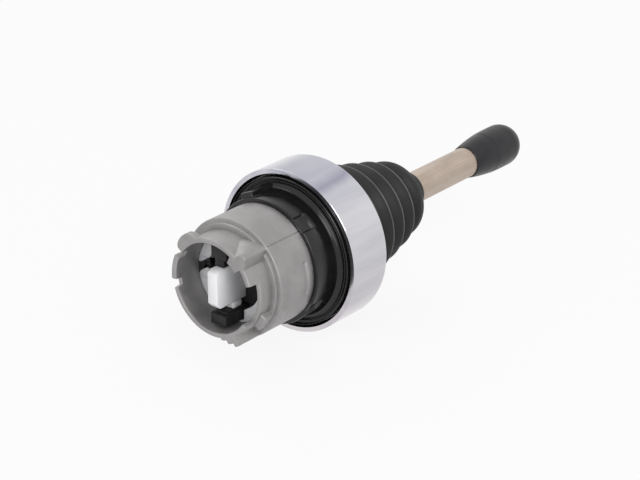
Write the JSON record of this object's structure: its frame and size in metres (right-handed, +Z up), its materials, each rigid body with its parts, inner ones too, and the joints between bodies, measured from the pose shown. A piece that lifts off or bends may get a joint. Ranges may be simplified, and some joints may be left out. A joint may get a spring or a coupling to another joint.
{
  "type": "panel joystick head",
  "caption": "Panel-mounted joystick head: zinc body with bayonet crown, chrome bezel, rubber bellows and a rod lever that tilts four ways and presses four rear plungers.",
  "frame": {"origin": "centre of the panel seat: the plane of the gasket lips, on the lever axis", "axes": "-Y forward along the lever at rest, +Y rearward through the panel to the contact side, +Z up"},
  "size_m": [0.029, 0.0856, 0.029],
  "materials": {
    "zinc_casting": "satin grey zinc die casting, tumbled",
    "gasket_rubber": "smooth moulded sealing rubber",
    "chrome": "bright chrome plating",
    "boot_rubber": "matt moulded bellows rubber",
    "nickel_rod": "satin nickel plating with a warm tint",
    "knob_plastic": "fine matt moulded grip",
    "steel": "turned steel",
    "spring_steel": "bright spring wire and strip",
    "white_plastic": "white acetal",
    "black_plastic": "black glass-filled nylon"
  },
  "bodies": {
    "housing": {"housing": "zinc_casting", "panel_gasket": "gasket_rubber", "bezel_ring": "chrome", "boot": "boot_rubber", "gimbal_pins": "steel", "guide_disc": "white_plastic", "guide_core": "black_plastic", "key_blade": "white_plastic", "guide_clip": "spring_steel", "centre_spring": "spring_steel", "spring_up": "spring_steel", "spring_down": "spring_steel", "spring_left": "spring_steel", "spring_right": "spring_steel"},
    "gimbal": {"gimbal_ring": "steel", "hub_pin": "steel"},
    "lever": {"lever_shaft": "nickel_rod", "knob": "knob_plastic", "lever_hub": "steel", "lever_pin": "steel", "rocker_plate": "steel", "rocker_clip": "spring_steel"},
    "up_plunger": {"plunger_up": "black_plastic", "cap_up": "white_plastic"},
    "down_plunger": {"plunger_down": "black_plastic", "cap_down": "white_plastic"},
    "left_plunger": {"plunger_left": "black_plastic", "cap_left": "white_plastic"},
    "right_plunger": {"plunger_right": "black_plastic", "cap_right": "white_plastic"}
  },
  "joints": [
    {"name": "tilt_x", "type": "hinge", "parent": "housing", "child": "gimbal", "pos_m": [0, -0.0034, 0], "axis": [1, 0, 0], "range_deg": [-12, 12], "stiffness_Nm_per_rad": 1.4, "deforming": ["boot", "centre_spring"]},
    {"name": "tilt_z", "type": "hinge", "parent": "gimbal", "child": "lever", "pos_m": [0, -0.0034, 0], "axis": [0, 0, 1], "range_deg": [-12, 12], "stiffness_Nm_per_rad": 1.4, "deforming": ["boot", "centre_spring"]},
    {"name": "press_up", "type": "slide", "parent": "housing", "child": "up_plunger", "axis": [0, 1, 0], "range_m": [-0.00135, 0.00135], "deforming": ["spring_up"]},
    {"name": "press_down", "type": "slide", "parent": "housing", "child": "down_plunger", "axis": [0, 1, 0], "range_m": [-0.00135, 0.00135], "deforming": ["spring_down"]},
    {"name": "press_right", "type": "slide", "parent": "housing", "child": "right_plunger", "axis": [0, 1, 0], "range_m": [-0.00135, 0.00135], "deforming": ["spring_right"]},
    {"name": "press_left", "type": "slide", "parent": "housing", "child": "left_plunger", "axis": [0, 1, 0], "range_m": [-0.00135, 0.00135], "deforming": ["spring_left"]}
  ],
  "couplings": [
    {"joint": "press_up", "follows": "tilt_x", "m_per_rad": -0.0063},
    {"joint": "press_down", "follows": "tilt_x", "m_per_rad": 0.0063},
    {"joint": "press_right", "follows": "tilt_z", "m_per_rad": 0.0063},
    {"joint": "press_left", "follows": "tilt_z", "m_per_rad": -0.0063}
  ]
}
